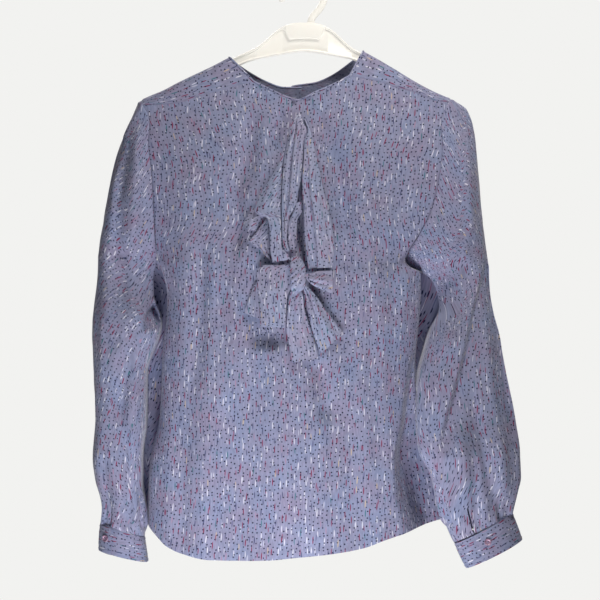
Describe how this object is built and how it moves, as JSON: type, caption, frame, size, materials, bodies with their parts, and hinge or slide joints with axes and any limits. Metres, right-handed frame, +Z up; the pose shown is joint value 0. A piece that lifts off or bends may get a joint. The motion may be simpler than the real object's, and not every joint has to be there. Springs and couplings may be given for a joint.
{
  "type": "tie neck blouse on a hanger",
  "caption": "Long-sleeved blouse with a rounded neck, shoulder yokes, buttoned cuffs and a hanging bow tie at the front, hung on a moulded plastic hanger.",
  "frame": {"origin": "inner top of the hanger's hook, where it rests on a rail", "axes": "+Z up, the blouse's front faces -Y, +X is on the right when it is seen from the front"},
  "size_m": [0.538, 0.1348, 0.7485],
  "materials": {
    "cloth": "soft matt woven crepe, dusty blue with small printed dots and dashes",
    "button": "pearly mauve",
    "hanger_plastic": "off-white, satin moulded"
  },
  "bodies": {
    "root": {"front": "cloth", "back": "cloth", "yoke_left": "cloth", "yoke_right": "cloth", "sleeve_left": "cloth", "sleeve_right": "cloth", "cuff_left": "cloth", "cuff_right": "cloth", "neck_binding": "cloth", "tie_strand_left": "cloth", "tie_roll_left": "cloth", "tie_fold_left": "cloth", "tie_strand_centre": "cloth", "tie_strand_cross": "cloth", "tie_strand_right": "cloth", "tie_fold_right": "cloth", "tie_knot": "cloth", "tie_loop_left": "cloth", "tie_tip_left": "cloth", "tie_tail_centre": "cloth", "tie_tail_right": "cloth", "cuff_button_left": "button", "cuff_button_right": "button", "neck_button": "button", "hanger_arms": "hanger_plastic", "hanger_hook": "hanger_plastic"}
  },
  "joints": []
}
